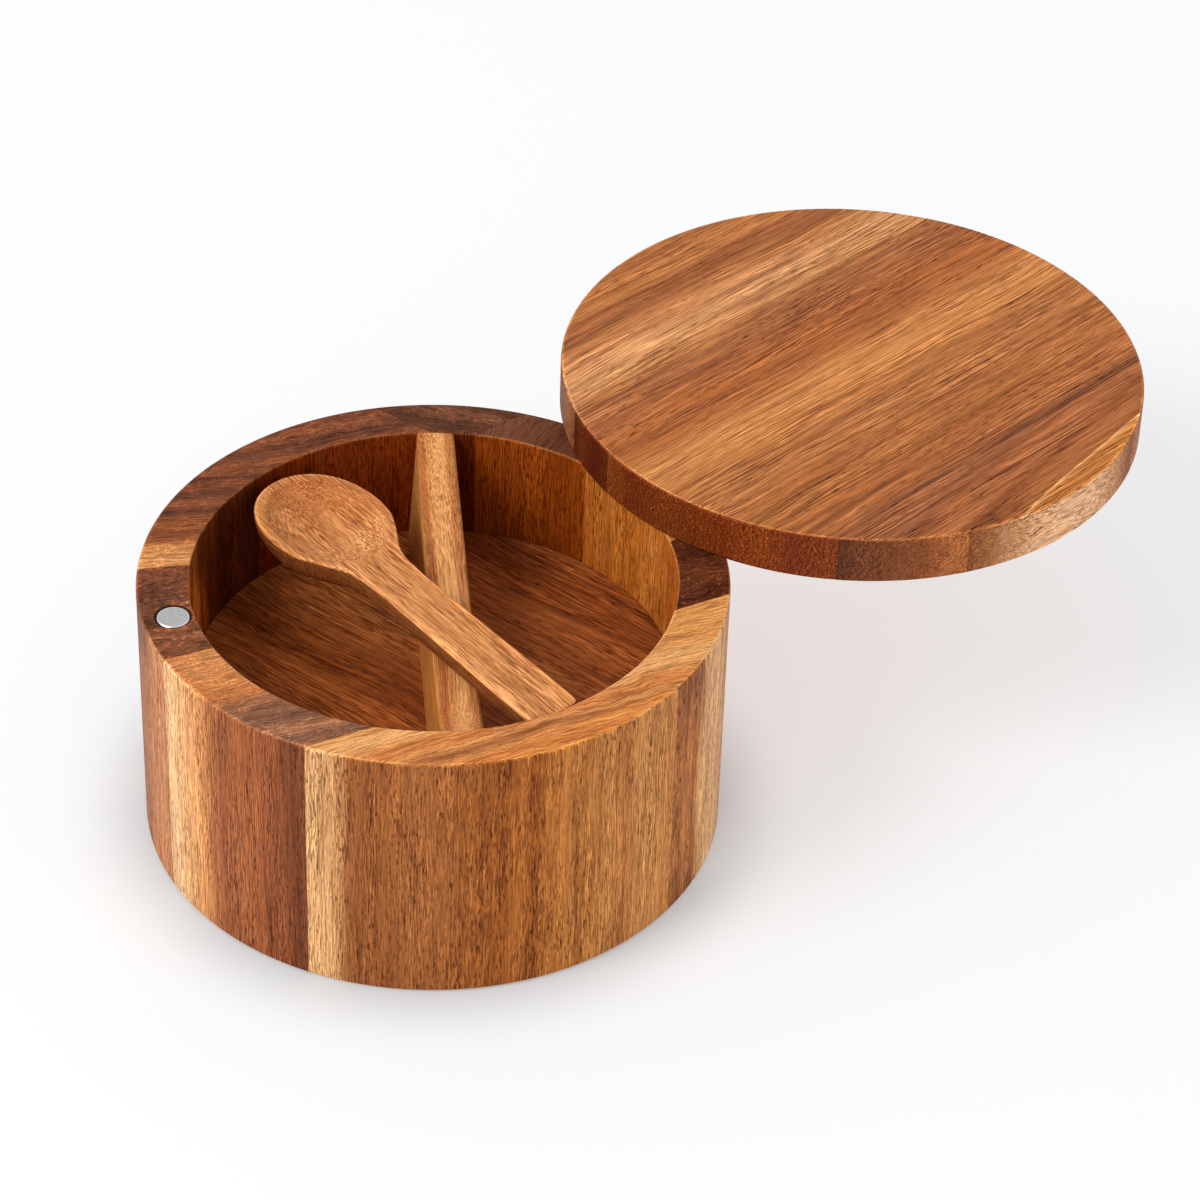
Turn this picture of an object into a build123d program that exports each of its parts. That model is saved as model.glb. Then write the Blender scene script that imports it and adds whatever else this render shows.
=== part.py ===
from build123d import *
import math
import os

# Round wooden double salt cellar: a bowl glued up from upright boards, a floor panel high inside it,
# a divider, a lid that swivels on a vertical pin, two disc magnets and a small spoon.
# Millimetres, +Z up. The origin is the centre of the bowl's base, and the front is -Y.

os.makedirs("parts", exist_ok=True)

# ---- driving dimensions -------------------------------------------------------------------------
R_OUT = 70.0            # bowl, outer radius
R_IN = 57.7             # bowl, inner radius above the floor
R_REBATE = 61.0         # rebate in the wall that takes the two base discs
H = 68.8                # bowl height
RIM_R_OUT = 0.9         # rounding of the rim's outer edge
RIM_R_IN = 0.6          # rounding of the rim's inner edge
FOOT_R = 1.2            # rounding of the bowl's lower outer edge

Z_BASE = 13.0           # top of the bottom disc
Z_CORE = 26.0           # top of the core disc and height of the rebate
Z_FLOOR = 38.85         # top of the floor panel
GLUE = 0.05             # glue gap round a disc

DIV_W_TOP = 9.0         # divider thickness at its top
DIV_W_BOT = 13.0        # and at the floor
DIV_OFF = 3.61          # its middle plane's distance from the bowl's axis
DIV_DIR = -83.82        # direction in plan that its front end points to, degrees
DISH = 7.80             # how far its top is dished for the spoon's handle
DISH_BACK = 8.0         # where the flat of the dish ends, towards the back
DISH_FRONT = -36.5      # and towards the front
DIV_ROUND = 0.9         # rounding of its top edges

LID_R = 72.2            # lid radius
LID_T = 12.6            # lid thickness
LID_GAP = 0.25          # running gap between rim and lid
LID_ROUND_TOP = 0.9
LID_ROUND_BOT = 0.8
LID_C = (99.8, 74.3)    # lid centre when swung right out, as seen
PIVOT = (LID_C[0] / 2.0, LID_C[1] / 2.0)   # so that the lid is centred on the bowl when shut
LID_GRAIN = 45.5        # direction of the lid's boards, degrees
LID_SEAMS = (-65.8, -46.9, -15.4, 14.3, 31.8)   # glue lines, offset from the lid's centre

PIN_R = 2.5             # 5 mm steel dowel pin
PIN_Z0 = 48.0           # bottom of its hole in the wall
PIN_HOLE_R_LID = 2.55   # running fit in the lid
PIN_IN_LID = 8.8        # how far it stands up into the lid
PIN_CHAMFER = 0.5

MAG_R = 4.0             # 8 mm x 3 mm disc magnets
MAG_T = 3.0
MAG_POCKET_R = 4.18
MAG_SINK = 0.05         # they sit just under the surface
MAG_CHAMFER = 0.3
MAG_AT_R = 62.7
MAG_AT_AZ = -161.9

# Spoon: its flat top lies in a slightly tilted plane, just under the rim.
SPOON_AZ = -50.1        # direction of the handle in plan
SPOON_TIP = (-39.8, 36.6)
SPOON_DIP_TIP = 0.6     # depth of the top under the rim at the tip of the head
SPOON_DIP_END = 2.25    # and at 110 mm from the tip
SPOON_END = 109.1       # length
SCOOP_C = 20.0
SCOOP_A = 17.6          # half length, half width and depth of the scoop
SCOOP_B = 12.9
SCOOP_D = 5.6

# Glue lines in the wall: the board that starts there, and the line's direction from the bowl's axis
# where it meets the outer and the inner edge of the rim, in degrees.
SEAMS = [
    ("stave_magnet", 181.5, 179.5),
    ("stave_front_left", 210.5, 211.9),
    ("stave_front", 248.4, 259.7),
    ("stave_right", 357.1, 349.2),
    ("stave_pivot", 18.5, 16.0),
    ("stave_back_right", 49.5, 53.2),
    ("stave_back", 73.6, 83.0),
    ("stave_back_left", 105.4, 93.4),
    ("stave_left", 149.5, 141.1),
]
STRIP_AZ = (-82.3, -34.0)   # ends of the thin outer strip's glue line on the outside
# --------------------------------------------------------------------------------------------------


def put(part, node):
    part.label = node
    export_step(part, "parts/" + node + ".step")
    solids = part.solids()
    print(node, "solids", len(solids), "volume %.1f" % sum(s.volume for s in solids))


def only(shape):
    """The largest solid of a boolean's result, as one Part."""
    best = max(shape.solids(), key=lambda s: s.volume)
    return Part() + best


def turned(points, rounds):
    """A closed profile in the XZ plane, some corners rounded, turned about the bowl's axis."""
    face = Plane.XZ * make_face(Polyline(*points, close=True))
    for (x, z), r in rounds:
        v = min(face.vertices(), key=lambda q: abs(q.X - x) + abs(q.Z - z))
        face = fillet_vertex(face, v, r)
    return revolve(face, Axis.Z, 360)


def fillet_vertex(face, v, r):
    out = fillet(v, radius=r)
    return out.faces()[0] if hasattr(out, "faces") and out.faces() else out


def seam_point(seam, r):
    """Where a glue line crosses the circle of radius r, on its own side of the bowl."""
    ao, ai = math.radians(seam[1]), math.radians(seam[2])
    ox, oy = R_OUT * math.cos(ao), R_OUT * math.sin(ao)
    ix, iy = R_IN * math.cos(ai), R_IN * math.sin(ai)
    px, py = (ox + ix) / 2, (oy + iy) / 2
    d = math.hypot(ox - ix, oy - iy)
    dx, dy = (ox - ix) / d, (oy - iy) / d
    b = px * dx + py * dy
    c = px * px + py * py - r * r
    root = math.sqrt(b * b - c)
    t = min((-b + root, -b - root), key=abs)
    return px + dx * t, py + dy * t


def sector(a, b, r0=56.0, r1=80.0, step=5.0):
    """The plan outline between two glue lines, counter-clockwise from a to b."""
    pts = []
    for r, forward in ((r1, True), (r0, False)):
        pa, pb = seam_point(a, r), seam_point(b, r)
        ta, tb = math.atan2(pa[1], pa[0]), math.atan2(pb[1], pb[0])
        while tb <= ta:
            tb += 2 * math.pi
        n = max(2, int(math.degrees(tb - ta) / step) + 1)
        arc = [pa]
        for i in range(1, n):
            t = ta + (tb - ta) * i / n
            arc.append((r * math.cos(t), r * math.sin(t)))
        arc.append(pb)
        pts += arc if forward else arc[::-1]
    return pts


def prism(points, z0, z1):
    face = make_face(Polyline(*points, close=True))
    return Pos(0, 0, z0) * extrude(face, amount=z1 - z0)


# ---- bowl wall ----------------------------------------------------------------------------------
ring = turned(
    [(R_REBATE, 0), (R_OUT, 0), (R_OUT, H), (R_IN, H), (R_IN, Z_CORE), (R_REBATE, Z_CORE)],
    [((R_OUT, 0), FOOT_R), ((R_OUT, H), RIM_R_OUT), ((R_IN, H), RIM_R_IN)],
)

a0, a1 = (math.radians(a) for a in STRIP_AZ)
p0 = (R_OUT * math.cos(a0), R_OUT * math.sin(a0))
p1 = (R_OUT * math.cos(a1), R_OUT * math.sin(a1))
am = (a0 + a1) / 2
out = (30 * math.cos(am), 30 * math.sin(am))
ext = (p1[0] - p0[0], p1[1] - p0[1])
q0 = (p0[0] - 0.2 * ext[0], p0[1] - 0.2 * ext[1])
q1 = (p1[0] + 0.2 * ext[0], p1[1] + 0.2 * ext[1])
strip_prism = prism([q0, (q0[0] + out[0], q0[1] + out[1]), (q1[0] + out[0], q1[1] + out[1]), q1], -5, H + 5)

MAG_AT = (MAG_AT_R * math.cos(math.radians(MAG_AT_AZ)), MAG_AT_R * math.sin(math.radians(MAG_AT_AZ)))
PIN_TOP = H + LID_GAP + PIN_IN_LID

staves = {}
for i, seam in enumerate(SEAMS):
    nxt = SEAMS[(i + 1) % len(SEAMS)]
    stave = ring & prism(sector(seam, nxt), -5, H + 5)
    name = seam[0]
    if name == "stave_front":
        put(only(stave & strip_prism), "stave_front_strip")
        stave = stave - strip_prism
    if name == "stave_magnet":
        stave = stave - Pos(MAG_AT[0], MAG_AT[1], H - MAG_T - MAG_SINK + 5) * Cylinder(MAG_POCKET_R, 10)
    if name == "stave_pivot":
        stave = stave - Pos(PIVOT[0], PIVOT[1], (PIN_Z0 + H + 2) / 2) * Cylinder(PIN_R, H + 2 - PIN_Z0)
    staves[name] = only(stave)
    put(staves[name], name)

# ---- floor and base -------------------------------------------------------------------------------
floor = turned(
    [(0, Z_CORE), (R_IN - GLUE, Z_CORE), (R_IN - GLUE, Z_FLOOR), (0, Z_FLOOR)],
    [((R_IN - GLUE, Z_FLOOR), 0.3)],
)
put(floor, "floor_panel")
core = turned(
    [(0, Z_BASE), (R_REBATE - GLUE, Z_BASE), (R_REBATE - GLUE, Z_CORE), (0, Z_CORE)],
    [((R_REBATE - GLUE, Z_CORE), 0.5)],
)
put(core, "base_core")
base = turned(
    [(0, 0), (R_REBATE - GLUE, 0), (R_REBATE - GLUE, Z_BASE), (0, Z_BASE)],
    [((R_REBATE - GLUE, 0), 0.4)],
)
put(base, "base_disc")

# ---- divider --------------------------------------------------------------------------------------
# Built along its own axes: x across it, y towards the back, z up, then turned into place.
section = Plane.XZ * make_face(Polyline(
    (-DIV_W_BOT / 2, Z_FLOOR), (DIV_W_BOT / 2, Z_FLOOR), (DIV_W_TOP / 2, H), (-DIV_W_TOP / 2, H), close=True))
bar = Pos(0, 70, 0) * extrude(section, amount=140)
bar = bar if abs(bar.bounding_box().center().Y) < 1 else Pos(0, -bar.bounding_box().center().Y, 0) * bar

end = math.sqrt(R_IN ** 2 - DIV_OFF ** 2) + 0.5      # where the top meets the wall
zd = H - DISH


def ramp_points(y0, y1, n=10):
    """A circular ramp, tangent to the dish's flat at y0, that rises to the rim's height at y1."""
    d = abs(y1 - y0)
    r = (d * d + DISH * DISH) / (2 * DISH)
    half = math.asin(d / r) / 2
    s = 1 if y1 > y0 else -1
    return (y0 + s * r * math.sin(half), zd + r * (1 - math.cos(half)))


mb = ramp_points(DISH_BACK, end)
mf = ramp_points(DISH_FRONT, -end)
top_curve = [
    Line((-end, H + 6), (-end, H)),
    ThreePointArc((-end, H), mf, (DISH_FRONT, zd)),
    Line((DISH_FRONT, zd), (DISH_BACK, zd)),
    ThreePointArc((DISH_BACK, zd), mb, (end, H)),
    Line((end, H), (end, H + 6)),
    Line((end, H + 6), (-end, H + 6)),
]
cut_face = Plane.YZ * make_face(top_curve)
cutter = Pos(-15, 0, 0) * extrude(cut_face, amount=30)
cutter = Pos(-cutter.bounding_box().center().X, 0, 0) * cutter
bar = bar - cutter
long_edges = [
    e for e in bar.edges()
    if e.bounding_box().size.Y > 8 and e.bounding_box().min.Z > zd - 0.5
    and e.bounding_box().size.X < 2.5
]
try:
    bar = fillet(long_edges, radius=DIV_ROUND)
except Exception as err:
    print("divider edges left sharp:", err)
turn = DIV_DIR + 90.0
nx, ny = math.cos(math.radians(turn)), math.sin(math.radians(turn))
bar = Pos(nx * DIV_OFF, ny * DIV_OFF, 0) * Rot(0, 0, turn) * bar
bar = bar & (Pos(0, 0, (Z_FLOOR + H) / 2) * Cylinder(R_IN - GLUE, H - Z_FLOOR + 2))
put(only(bar), "divider")

# ---- pin and magnets ------------------------------------------------------------------------------
pin_len = PIN_TOP - PIN_Z0
pin = Cylinder(PIN_R, pin_len)
pin = chamfer(pin.edges().filter_by(GeomType.CIRCLE), length=PIN_CHAMFER)
put(Pos(PIVOT[0], PIVOT[1], PIN_Z0 + pin_len / 2) * pin, "pivot_pin")

disc = Cylinder(MAG_R, MAG_T)
disc = chamfer(disc.edges().filter_by(GeomType.CIRCLE), length=MAG_CHAMFER)
put(Pos(MAG_AT[0], MAG_AT[1], H - MAG_SINK - MAG_T / 2) * disc, "magnet_body")
MAG_LID = (2 * PIVOT[0] - MAG_AT[0], 2 * PIVOT[1] - MAG_AT[1])
Z_LID = H + LID_GAP
put(Pos(MAG_LID[0], MAG_LID[1], Z_LID + MAG_SINK + MAG_T / 2) * disc, "magnet_lid")

# ---- lid ------------------------------------------------------------------------------------------
lid = turned(
    [(0, Z_LID), (LID_R, Z_LID), (LID_R, Z_LID + LID_T), (0, Z_LID + LID_T)],
    [((LID_R, Z_LID), LID_ROUND_BOT), ((LID_R, Z_LID + LID_T), LID_ROUND_TOP)],
)
edges = [-LID_R - 5] + list(LID_SEAMS) + [LID_R + 5]
names = ["lid_strip", "lid_board_a", "lid_board_b", "lid_board_c", "lid_board_d", "lid_board_e"]
for i, name in enumerate(names):
    lo, hi = edges[i], edges[i + 1]
    slab = Pos(0, (lo + hi) / 2, Z_LID + LID_T / 2) * Box(200, hi - lo, 40)
    board = Pos(LID_C[0], LID_C[1], 0) * Rot(0, 0, LID_GRAIN) * (lid & slab)
    if name == "lid_board_b":
        board = board - Pos(MAG_LID[0], MAG_LID[1], Z_LID + MAG_SINK + MAG_T - 5) * Cylinder(MAG_POCKET_R, 10)
    if name == "lid_board_c":
        depth = PIN_IN_LID + 0.05
        board = board - Pos(PIVOT[0], PIVOT[1], Z_LID + depth - 10) * Cylinder(PIN_HOLE_R_LID, 20)
    put(only(board), name)

# ---- spoon ----------------------------------------------------------------------------------------
# Stations along the spoon: distance from the tip, half width, depth, and how square the section is.
STATIONS = [
    (0.5, 4.0, 2.6, 2.2),
    (2.4, 7.8, 4.4, 2.3),
    (5.5, 11.0, 6.6, 2.4),
    (10.5, 13.9, 8.8, 2.5),
    (15.5, 15.1, 9.8, 2.5),
    (20.8, 15.4, 10.1, 2.5),
    (26.0, 14.7, 9.7, 2.6),
    (30.8, 12.7, 8.8, 2.8),
    (35.0, 10.3, 7.7, 3.2),
    (39.5, 7.9, 6.7, 3.8),
    (45.0, 6.8, 6.0, 4.2),
    (54.0, 6.5, 5.8, 4.5),
    (75.0, 6.7, 5.8, 4.5),
    (95.0, 7.0, 5.8, 4.5),
    (SPOON_END, 7.0, 5.7, 4.5),
]
TOP_ROUND = 0.25


def spoon_section(w, d, p):
    """Flat top, rounded underside, in the plane across the spoon: x across it, y up."""
    n = 12
    pts = []
    for i in range(n + 1):
        t = math.pi * i / n
        c, s = math.cos(t), math.sin(t)
        pts.append((math.copysign(w * abs(c) ** (2 / p), c), -d * abs(s) ** (2 / p) - TOP_ROUND * (1 - abs(s))))
    pts[0], pts[-1] = (w, -TOP_ROUND), (-w, -TOP_ROUND)
    under = Spline(*pts)
    top = Polyline((-w, -TOP_ROUND), (-w + 0.4, 0), (w - 0.4, 0), (w, -TOP_ROUND))
    return make_face([under, top])


tilt = -(SPOON_DIP_END - SPOON_DIP_TIP) / 110.0
az = math.radians(SPOON_AZ)
ax = Vector(math.cos(az), math.sin(az), tilt).normalized()
left = Vector(-math.sin(az), math.cos(az), 0)
up = ax.cross(left)
tip = Vector(SPOON_TIP[0], SPOON_TIP[1], H - SPOON_DIP_TIP)


def between(u):
    """The section's numbers at u, on a smooth line through the stations."""
    us = [q[0] for q in STATIONS]
    k = max(i for i in range(len(us)) if us[i] <= u + 1e-9)
    k = min(k, len(us) - 2)
    vals = []
    for j in (1, 2, 3):
        y = [q[j] for q in STATIONS]

        def slope(i):
            if i == 0 or i == len(us) - 1:
                return 0.0 if i else (y[1] - y[0]) / (us[1] - us[0])
            a = (y[i] - y[i - 1]) / (us[i] - us[i - 1])
            b = (y[i + 1] - y[i]) / (us[i + 1] - us[i])
            return 0.0 if a * b <= 0 else 2 * a * b / (a + b)

        hh = us[k + 1] - us[k]
        t = (u - us[k]) / hh
        vals.append(
            (2 * t**3 - 3 * t**2 + 1) * y[k] + (t**3 - 2 * t**2 + t) * hh * slope(k)
            + (-2 * t**3 + 3 * t**2) * y[k + 1] + (t**3 - t**2) * hh * slope(k + 1)
        )
    return vals


cuts = [0.5, 1.2, 2.4, 3.8, 5.5, 8, 10.5, 13, 15.5, 18, 20.8, 23.4, 26, 28.4, 30.8, 33, 35, 37.2, 39.5, 42, 45,
        49, 54, 64, 75, 85, 95, SPOON_END - 3.5, SPOON_END - 1.6, SPOON_END - 0.5, SPOON_END]
END_TRIM = {SPOON_END - 1.6: 0.45, SPOON_END - 0.5: 1.3, SPOON_END: 2.6}
faces = []
for u in cuts:
    w, d, p = between(u)
    trim = END_TRIM.get(u, 0.0)
    faces.append(Plane(origin=(u, 0, 0), x_dir=(0, 1, 0), z_dir=(1, 0, 0)) * spoon_section(w - trim, d - 0.5 * trim, p))
body = loft(faces, ruled=True)
print("spoon body", body.bounding_box().size, "volume", body.volume, "valid", body.is_valid)
scoop_scale = Pos(SCOOP_C, 0, 0) * scale(Sphere(1.0), by=(SCOOP_A, SCOOP_B, SCOOP_D))
body = body - scoop_scale
place = Plane(origin=(tip.X, tip.Y, tip.Z), x_dir=(ax.X, ax.Y, ax.Z), z_dir=(up.X, up.Y, up.Z))
spoon = place.location * body
put(only(spoon), "spoon")
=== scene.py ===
import math

import bpy
import numpy as np
from mathutils import Matrix, Vector

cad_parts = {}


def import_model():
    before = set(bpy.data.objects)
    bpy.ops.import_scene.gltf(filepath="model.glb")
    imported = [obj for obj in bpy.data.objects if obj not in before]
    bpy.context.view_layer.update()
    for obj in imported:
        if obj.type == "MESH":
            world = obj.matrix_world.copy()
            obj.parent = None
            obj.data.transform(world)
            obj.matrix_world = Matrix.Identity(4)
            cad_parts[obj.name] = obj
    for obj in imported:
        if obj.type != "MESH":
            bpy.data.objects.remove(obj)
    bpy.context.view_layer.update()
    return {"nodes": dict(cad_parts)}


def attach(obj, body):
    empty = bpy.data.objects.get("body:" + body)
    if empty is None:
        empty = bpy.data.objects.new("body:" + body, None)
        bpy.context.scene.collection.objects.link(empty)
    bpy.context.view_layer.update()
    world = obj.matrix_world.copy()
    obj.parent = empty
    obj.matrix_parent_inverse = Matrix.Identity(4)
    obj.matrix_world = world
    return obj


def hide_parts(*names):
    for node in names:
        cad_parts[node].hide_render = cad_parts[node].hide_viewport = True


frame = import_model()
NODES = frame["nodes"]
scene = bpy.context.scene

# ---------------------------------------------------------------------------------------------------
# Sizes shared with the construction, in millimetres
# ---------------------------------------------------------------------------------------------------
R_OUT, R_IN, H = 70.0, 57.7, 68.8
LID_C = (99.8, 74.3)
LID_TOP = 81.65
LID_R = 72.2
SEAMS = {                       # glue lines: direction in plan at the outer and the inner edge, degrees
    "magnet": (181.5, 179.5),
    "front_left": (210.5, 211.9),
    "front": (248.4, 259.7),
    "right": (357.1, 349.2),
    "pivot": (18.5, 16.0),
    "back_right": (49.5, 53.2),
    "back": (73.6, 83.0),
    "back_left": (105.4, 93.4),
    "left": (149.5, 141.1),
}

# ---------------------------------------------------------------------------------------------------
# Camera: 1200 x 1200 frame, focal length 4257 px
# ---------------------------------------------------------------------------------------------------
PITCH, ROLL = 0.658401, 0.033524
cam_data = bpy.data.cameras.new("camera")
cam_data.sensor_fit = "AUTO"
cam_data.sensor_width = 36.0
cam_data.lens = 4257.18 * 36.0 / 1200.0
cam_data.clip_start = 0.01
cam_data.clip_end = 50.0
cam_data.dof.use_dof = False
cam = bpy.data.objects.new("camera", cam_data)
scene.collection.objects.link(cam)
forward = Vector((0, math.cos(PITCH), -math.sin(PITCH)))
right0 = Vector((1, 0, 0))
up0 = Vector((0, math.sin(PITCH), math.cos(PITCH)))
right = right0 * math.cos(ROLL) + up0 * math.sin(ROLL)
up = right0 * -math.sin(ROLL) + up0 * math.cos(ROLL)
rot = Matrix((right, up, -forward)).transposed()
cam.matrix_world = Matrix.Translation((0.03931, -0.79657, 0.67901)) @ rot.to_4x4()
scene.camera = cam

scene.view_settings.view_transform = "Standard"
scene.view_settings.look = "None"
scene.view_settings.exposure = 0.0
scene.view_settings.gamma = 1.0


# ---------------------------------------------------------------------------------------------------
# Node helpers
# ---------------------------------------------------------------------------------------------------
def lin(c):
    """A colour given in 0-255 display values, as linear values."""
    out = []
    for v in c:
        v = v / 255.0
        out.append(v / 12.92 if v <= 0.04045 else ((v + 0.055) / 1.055) ** 2.4)
    return (out[0], out[1], out[2], 1.0)


def pigment(c):
    """A wood colour as it looks in full light, less the veil that its oiled surface adds."""
    return tuple(v - min(0.012, 0.55 * v) for v in lin(c)[:3]) + (1.0,)


class Tree:
    def __init__(self, name):
        self.mat = bpy.data.materials.new(name)
        self.mat.use_nodes = True
        self.nt = self.mat.node_tree
        self.nt.nodes.clear()
        self.n = 0

    def new(self, kind):
        node = self.nt.nodes.new(kind)
        node.location = (180 * (self.n % 14), -170 * (self.n // 14))
        self.n += 1
        return node

    def put(self, socket, value):
        if value is None:
            return
        if isinstance(value, bpy.types.NodeSocket):
            self.nt.links.new(value, socket)
        else:
            socket.default_value = value

    def math(self, op, a, b=None, c=None, clamp=False):
        node = self.new("ShaderNodeMath")
        node.operation = op
        node.use_clamp = clamp
        self.put(node.inputs[0], a)
        self.put(node.inputs[1], b)
        self.put(node.inputs[2], c)
        return node.outputs[0]

    def add(self, a, b):
        return self.math("ADD", a, b)

    def sub(self, a, b):
        return self.math("SUBTRACT", a, b)

    def mul(self, a, b):
        return self.math("MULTIPLY", a, b)

    def dot(self, v, axis):
        node = self.new("ShaderNodeVectorMath")
        node.operation = "DOT_PRODUCT"
        self.put(node.inputs[0], v)
        node.inputs[1].default_value = tuple(axis)
        return node.outputs["Value"]

    def vec(self, x, y, z):
        node = self.new("ShaderNodeCombineXYZ")
        for s, v in zip(node.inputs, (x, y, z)):
            self.put(s, v)
        return node.outputs[0]

    def noise(self, v, detail=2.0, rough=0.5, distort=0.0, scale=1.0):
        node = self.new("ShaderNodeTexNoise")
        node.noise_dimensions = "3D"
        self.put(node.inputs["Vector"], v)
        node.inputs["Scale"].default_value = scale
        node.inputs["Detail"].default_value = detail
        node.inputs["Roughness"].default_value = rough
        node.inputs["Distortion"].default_value = distort
        return node.outputs["Fac"]

    def span(self, v, a, b, lo=0.0, hi=1.0, smooth=True):
        """v from a..b to lo..hi, held at the ends."""
        node = self.new("ShaderNodeMapRange")
        node.interpolation_type = "SMOOTHSTEP" if smooth else "LINEAR"
        node.clamp = True
        self.put(node.inputs["Value"], v)
        node.inputs["From Min"].default_value = a
        node.inputs["From Max"].default_value = b
        node.inputs["To Min"].default_value = lo
        node.inputs["To Max"].default_value = hi
        return node.outputs["Result"]

    def ramp(self, v, stops, w0, w1):
        """stops: (place, colour), place in the units of v."""
        node = self.new("ShaderNodeValToRGB")
        self.put(node.inputs[0], self.span(v, w0, w1, smooth=False))
        cr = node.color_ramp
        cr.interpolation = "LINEAR"
        stops = sorted(stops, key=lambda q: q[0])
        while len(cr.elements) > 1:
            cr.elements.remove(cr.elements[-1])
        for i, (place, colour) in enumerate(stops):
            t = min(1.0, max(0.0, (place - w0) / (w1 - w0)))
            el = cr.elements[0] if i == 0 else cr.elements.new(t)
            el.position = t
            el.color = pigment(colour)
        return node.outputs["Color"]

    def mix(self, f, a, b, mode="MIX"):
        node = self.new("ShaderNodeMix")
        node.data_type = "RGBA"
        node.blend_type = mode
        node.clamp_factor = True
        self.put(node.inputs[0], f)
        self.put(node.inputs[6], a)
        self.put(node.inputs[7], b)
        return node.outputs[2]

    def mixf(self, f, a, b):
        node = self.new("ShaderNodeMix")
        node.data_type = "FLOAT"
        node.clamp_factor = True
        self.put(node.inputs[0], f)
        self.put(node.inputs[2], a)
        self.put(node.inputs[3], b)
        return node.outputs[0]

    def tint(self, f, col, by):
        """col times by, by the share f."""
        node = self.new("ShaderNodeMix")
        node.data_type = "RGBA"
        node.blend_type = "MULTIPLY"
        node.clamp_factor = True
        self.put(node.inputs[0], f)
        self.put(node.inputs[6], col)
        node.inputs[7].default_value = (by[0], by[1], by[2], 1.0)
        return node.outputs[2]


def unit(v):
    v = Vector(v)
    return v.normalized()


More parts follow.
